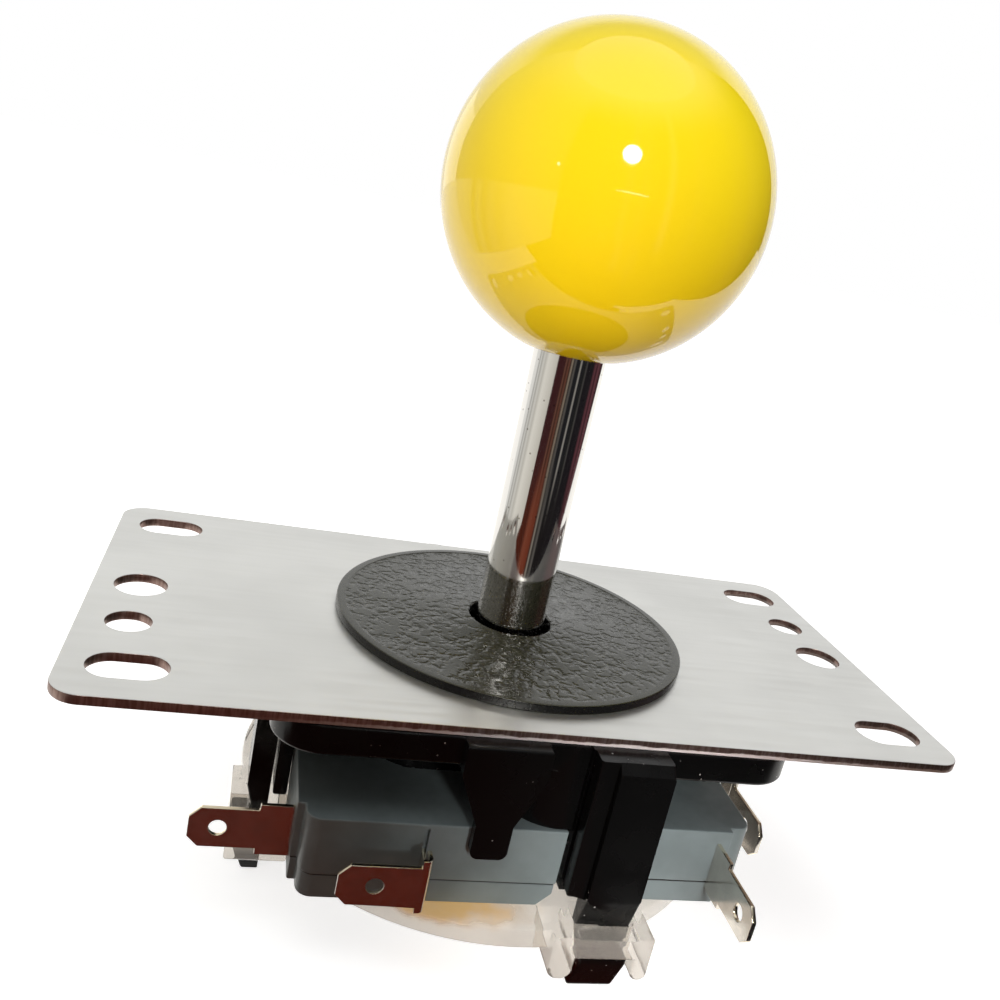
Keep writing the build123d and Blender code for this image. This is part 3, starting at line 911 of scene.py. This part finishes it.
class Glow(Finish):
    """A stage paint being made, that only glows."""

    def __init__(self, name, strength=1.0):
        super().__init__(name)
        self.tree.nodes.remove(self.shader)
        self.shader = self.node("ShaderNodeEmission")
        self.constant("Strength", strength)
        self.link(self.shader.outputs["Emission"], self.tree.nodes["Material Output"].inputs["Surface"])

    def stripes(self, shades):
        """Colour by heading about the lever's axis, from (degrees, colour) marks."""
        turn = self.node("ShaderNodeTexGradient", gradient_type="RADIAL")
        self.link(self.place, turn.inputs["Vector"])
        ramp = self.node("ShaderNodeValToRGB")
        marks = ramp.color_ramp.elements
        while len(marks) < len(shades):
            marks.new(0.5)
        for mark, (heading, colour) in zip(marks, shades):
            mark.position = 0.5 + heading / 360
            mark.color = (*colour, 1)
        self.link(turn.outputs["Fac"], ramp.inputs["Fac"])
        return ramp.outputs["Color"]


def plain_paint(name, colour, strength=1.0):
    """Glowing paint of one colour."""
    glow = Glow(name, strength)
    glow.constant("Color", (*colour, 1))
    return glow.material


def room_paint(name, stripes, near_stripes=None, rise=None):
    """Upright stripes by heading, others close to the object, and a glow that rises up a wall."""
    glow = Glow(name)
    colour = glow.stripes(stripes)
    if near_stripes:
        near = glow.ramp(glow.distance_to((0, 0, 0)), FAR_REACH, NEAR_REACH)
        colour = glow.blend(near, colour, glow.stripes(near_stripes))
    if rise:
        low, high, brightness = rise
        lift = glow.ramp(glow.axis("Z"), low, high)
        colour = glow.blend(lift, colour, (brightness, brightness, brightness))
    glow.drive("Color", colour)
    return glow.material


class LEVER_OT_stage(bpy.types.Operator):
    """Floor, reflected cards, lamps, sky and camera"""

    bl_idname = "lever.stage"
    bl_label = "Stage"

    def execute(self, context):
        context.scene.view_settings.view_transform = "Standard"
        self.floor()
        self.cards()
        self.lamps()
        self.sky(context.scene)
        self.camera(context.scene)
        return {"FINISHED"}

    def floor(self):
        """Floor that looks white, takes the object's shadow and throws little light back."""
        floor = self.sheet("floor", floor_height)
        paint = Finish("pale_floor")
        paint.constant("Roughness", 0.9)
        paint.constant("Specular IOR Level", 0.0)
        paint.constant("Emission Color", (1, 1, 1, 1))
        rays = paint.node("ShaderNodeLightPath").outputs
        seen = paint.math("MAXIMUM", rays["Is Camera Ray"], rays["Is Transmission Ray"])
        paint.drive("Base Color", paint.blend(seen, FLOOR_BOUNCE, FLOOR_COLOUR))
        paint.drive("Emission Strength", paint.ramp(rays["Is Diffuse Ray"], 0, 1, FLOOR_GLOW, 0))
        floor.data.materials.append(paint.material)

    def sheet(self, name, height):
        """Large level plane."""
        bpy.ops.object.select_all(action="DESELECT")
        bpy.ops.mesh.primitive_plane_add(size=SHEET_SIZE, location=(0, 0, height))
        return new_piece(name)

    def trim(self, piece, corner, heading):
        """Cuts away what lies to the left of a line that leaves a corner at a heading."""
        make_active(piece)
        bpy.ops.object.mode_set(mode="EDIT")
        bpy.ops.mesh.select_all(action="SELECT")
        left = (-math.sin(heading), math.cos(heading), 0)
        bpy.ops.mesh.bisect(plane_co=corner, plane_no=left, clear_outer=True)
        bpy.ops.object.mode_set(mode="OBJECT")

    def cards(self):
        """Room that reflections show: dark in front, pale at the left, white paper and a wall behind.

        The dark wall also takes the sky's place in the light on the object.
        """
        axis = (0, 0, 0)
        paper_corner = (76 * MM, -39 * MM, 0)
        paper_right = math.radians(34)
        paper_left = math.radians(130)
        bright_right = math.radians(104)
        paper_left_corner = (-10 * MM, -39 * MM, 0)
        room_left = math.radians(-138)
        dark_paint = room_paint("dark_room", DARK_STRIPES, NEAR_STRIPES)
        for name, heading in (("dark_table_front", 0), ("dark_table_right", paper_right)):
            table = self.sheet(name, floor_height + DARK_TABLE_LIFT)
            self.trim(table, paper_corner, heading)
            self.card(table, dark_paint)
        strip = self.sheet("dark_strip", floor_height + STRIP_LIFT)
        self.trim(strip, (STRIP_RIGHT, 0, 0), -math.pi / 2)
        self.trim(strip, (STRIP_LEFT, 0, 0), math.pi / 2)
        self.trim(strip, (0, STRIP_BACK, 0), 0)
        self.trim(strip, (0, STRIP_FRONT, 0), math.pi)
        self.card(strip, plain_paint("dark_strip", STRIP_PAINT))
        side = self.sheet("pale_table", floor_height + PALE_TABLE_LIFT)
        self.trim(side, axis, room_left)
        self.trim(side, paper_left_corner, paper_left + math.pi)
        self.trim(side, (PALE_TABLE_RIGHT, 0, 0), -math.pi / 2)
        self.card(side, room_paint("pale_table", PALE_STRIPES))
        paper = self.sheet("white_paper", floor_height + PAPER_LIFT)
        self.card(paper, plain_paint("bright_card", WARM_WHITE, PAPER_STRENGTH))
        wall = self.wall("dark_wall", ROOM_RADIUS, ROOM_HEIGHT, room_left, paper_right)
        self.card(wall, room_paint("dark_wall", DARK_STRIPES, rise=ROOM_GLOW))
        wall.visible_diffuse = True
        wall = self.wall("pale_wall", ROOM_RADIUS, ROOM_HEIGHT, paper_left, room_left + 2 * math.pi)
        self.card(wall, room_paint("pale_wall", PALE_WALL, rise=ROOM_GLOW))
        wall = self.wall("back_wall", ROOM_RADIUS, ROOM_HEIGHT, paper_right, paper_left)
        self.card(wall, room_paint("back_wall", BACK_WALL, rise=BACK_GLOW))
        wall = self.wall("bright_wall", BRIGHT_WALL_RADIUS, BRIGHT_WALL_HEIGHT, bright_right, paper_left)
        self.card(wall, plain_paint("bright_wall", WARM_WHITE, BRIGHT_WALL_STRENGTH))

    def wall(self, name, radius, height, first, last):
        """Upright wall that stands on the floor between two headings."""
        bpy.ops.object.select_all(action="DESELECT")
        bpy.ops.mesh.primitive_cylinder_add(
            vertices=180, radius=radius, depth=height, end_fill_type="NOTHING",
            location=(0, 0, floor_height + height / 2),
        )
        wall = new_piece(name)

        def outside(middle, normal):
            turn = (math.atan2(middle.y, middle.x) - first) % (2 * math.pi)
            return turn > last - first

        select_faces(wall, outside)
        bpy.ops.mesh.delete(type="FACE")
        bpy.ops.object.mode_set(mode="OBJECT")
        return wall

    def card(self, card, paint):
        """Leaves a stage piece visible only in reflections."""
        card.data.materials.append(paint)
        card.visible_camera = False
        card.visible_diffuse = False
        card.visible_shadow = False
        card.visible_transmission = False

    def lamps(self):
        settings = stage_settings()
        ball_middle = (ball_low + ball_high) / 2
        key_place = ball_middle + 0.5 * Vector((0.40, -0.80, 0.44))
        self.spot("key", key_place, ball_middle, settings.key_power, spread=9, radius=0.03)
        fill_place = ball_middle + 0.28 * Vector((-0.72, -0.67, -0.18))
        fill = self.spot("fill", fill_place, ball_middle, settings.fill_power, spread=16, radius=0.02)
        fill.color = (1.0, 0.95, 0.82)
        warm_place = Vector((-40 * MM, -150 * MM, -24 * MM))
        warm = self.spot("warm", warm_place, ball_middle, settings.warm_power, spread=14, radius=0.012)
        warm.color = (1.0, 0.62, 0.2)
        low_place = Vector((16 * MM, -150 * MM, 22 * MM))
        low_target = Vector((12 * MM, -25 * MM, -13 * MM))
        self.spot("low", low_place, low_target, settings.low_power, spread=20, radius=0.012)
        soft_place = Vector((-0.15, 0.0, 0.8))
        soft = self.lamp("overhead", "AREA", soft_place, Vector((0, 0, 0)), settings.soft_power)
        soft.shape = "DISK"
        soft.size = 0.8
        self.glint("lamp_face", (-96, 27.5), distance=0.5, reach=(0.05, 0.05), strength=30.0)
        self.glint("lamp_bar", (-91, 4.9), distance=1.0, reach=(0.20, 0.008), strength=5.0)
        self.glint("small_lamp", (-142, 12.5), distance=1.0, reach=(0.018, 0.018), strength=8.0)

    def spot(self, name, place, target, power, spread, radius):
        """Round soft-edged beam, with its spread in degrees."""
        spot = self.lamp(name, "SPOT", place, target, power)
        spot.spot_size = math.radians(spread)
        spot.spot_blend = 0.8
        spot.shadow_soft_size = radius
        return spot

    def glint(self, name, direction, distance, reach, strength):
        """Round or drawn-out card that the ball shows as a lamp in a (heading, rise) direction."""
        heading, rise = (math.radians(turn) for turn in direction)
        level = Vector((math.cos(heading), math.sin(heading), 0))
        away = math.cos(rise) * level + math.sin(rise) * Vector((0, 0, 1))
        place = (ball_low + ball_high) / 2 + distance * away
        width, height = reach
        bpy.ops.object.select_all(action="DESELECT")
        bpy.ops.mesh.primitive_circle_add(
            vertices=48, radius=1.0, fill_type="NGON", location=place,
            rotation=(-away).to_track_quat("Z", "Y").to_euler(),
        )
        bpy.context.object.scale = (width, height, 1)
        self.card(new_piece(name), plain_paint(name, LAMP_WHITE, strength))

    def lamp(self, name, kind, place, target, power):
        data = bpy.data.lights.new(name, kind)
        data.energy = power
        lamp = bpy.data.objects.new(name, data)
        lamp.location = place
        lamp.rotation_euler = (target - place).to_track_quat("-Z", "Y").to_euler()
        lamp.visible_glossy = False
        bpy.context.scene.collection.objects.link(lamp)
        return data

    def sky(self, scene):
        """Even light, white where the camera, mirrors and clear plastic see it."""
        world = scene.world or bpy.data.worlds.new("sky")
        scene.world = world
        world.use_nodes = True
        tree = world.node_tree
        background = tree.nodes["Background"]
        background.inputs["Color"].default_value = (1, 1, 1, 1)
        rays = tree.nodes.new("ShaderNodeLightPath")
        strength = tree.nodes.new("ShaderNodeMapRange")
        strength.inputs["To Min"].default_value = 1.0
        strength.inputs["To Max"].default_value = stage_settings().sky_strength
        tree.links.new(rays.outputs["Is Diffuse Ray"], strength.inputs["Value"])
        tree.links.new(strength.outputs["Result"], background.inputs["Strength"])

    def camera(self, scene):
        settings = stage_settings()
        data = bpy.data.cameras.new("camera")
        data.lens = settings.camera_lens
        data.sensor_width = 36.0
        data.clip_start = 1 * MM
        data.clip_end = 20.0
        camera = bpy.data.objects.new("camera", data)
        turn = Matrix.Rotation(-settings.camera_heading, 4, "Z")
        tilt = Matrix.Rotation(math.radians(90) - settings.camera_pitch, 4, "X")
        roll = Matrix.Rotation(settings.camera_roll, 4, "Z")
        camera.matrix_world = Matrix.Translation(settings.camera_place) @ turn @ tilt @ roll
        scene.collection.objects.link(camera)
        scene.camera = camera


# Panel and registration


class LEVER_PT_pieces(bpy.types.Panel):
    """Buttons for the lever's pieces and their settings"""

    bl_idname = "LEVER_PT_pieces"
    bl_label = "Arcade joystick lever"
    bl_space_type = "VIEW_3D"
    bl_region_type = "UI"
    bl_category = "Lever"

    def draw(self, context):
        column = self.layout.column(align=True)
        for operator in PIECE_OPERATORS:
            column.operator(operator.bl_idname)
        column.operator(LEVER_OT_stage.bl_idname)
        for settings in (colours(), sizes(), stage_settings()):
            box = self.layout.box()
            for name in settings.bl_rna.properties.keys():
                if name not in ("rna_type", "name"):
                    box.prop(settings, name)


PIECE_OPERATORS = (
    LEVER_OT_ball_top,
    LEVER_OT_shaft,
    LEVER_OT_dust_washer,
    LEVER_OT_mounting_plate,
    LEVER_OT_moulded_body,
    LEVER_OT_switches,
    LEVER_OT_terminals,
    LEVER_OT_clear_gate,
    LEVER_OT_inner_parts,
)
CLASSES = (LeverColours, LeverSizes, LeverStage, *PIECE_OPERATORS, LEVER_OT_stage, LEVER_PT_pieces)


def register():
    for cls in CLASSES:
        bpy.utils.register_class(cls)
    bpy.types.Scene.lever_colours = PointerProperty(type=LeverColours)
    bpy.types.Scene.lever_sizes = PointerProperty(type=LeverSizes)
    bpy.types.Scene.lever_stage = PointerProperty(type=LeverStage)


def unregister():
    del bpy.types.Scene.lever_stage
    del bpy.types.Scene.lever_sizes
    del bpy.types.Scene.lever_colours
    for cls in reversed(CLASSES):
        bpy.utils.unregister_class(cls)


def main():
    register()
    bpy.ops.lever.ball_top()
    bpy.ops.lever.shaft()
    bpy.ops.lever.dust_washer()
    bpy.ops.lever.mounting_plate()
    bpy.ops.lever.moulded_body()
    bpy.ops.lever.switches()
    bpy.ops.lever.terminals()
    bpy.ops.lever.clear_gate()
    bpy.ops.lever.inner_parts()
    bpy.ops.lever.stage()


if __name__ == "__main__":
    main()
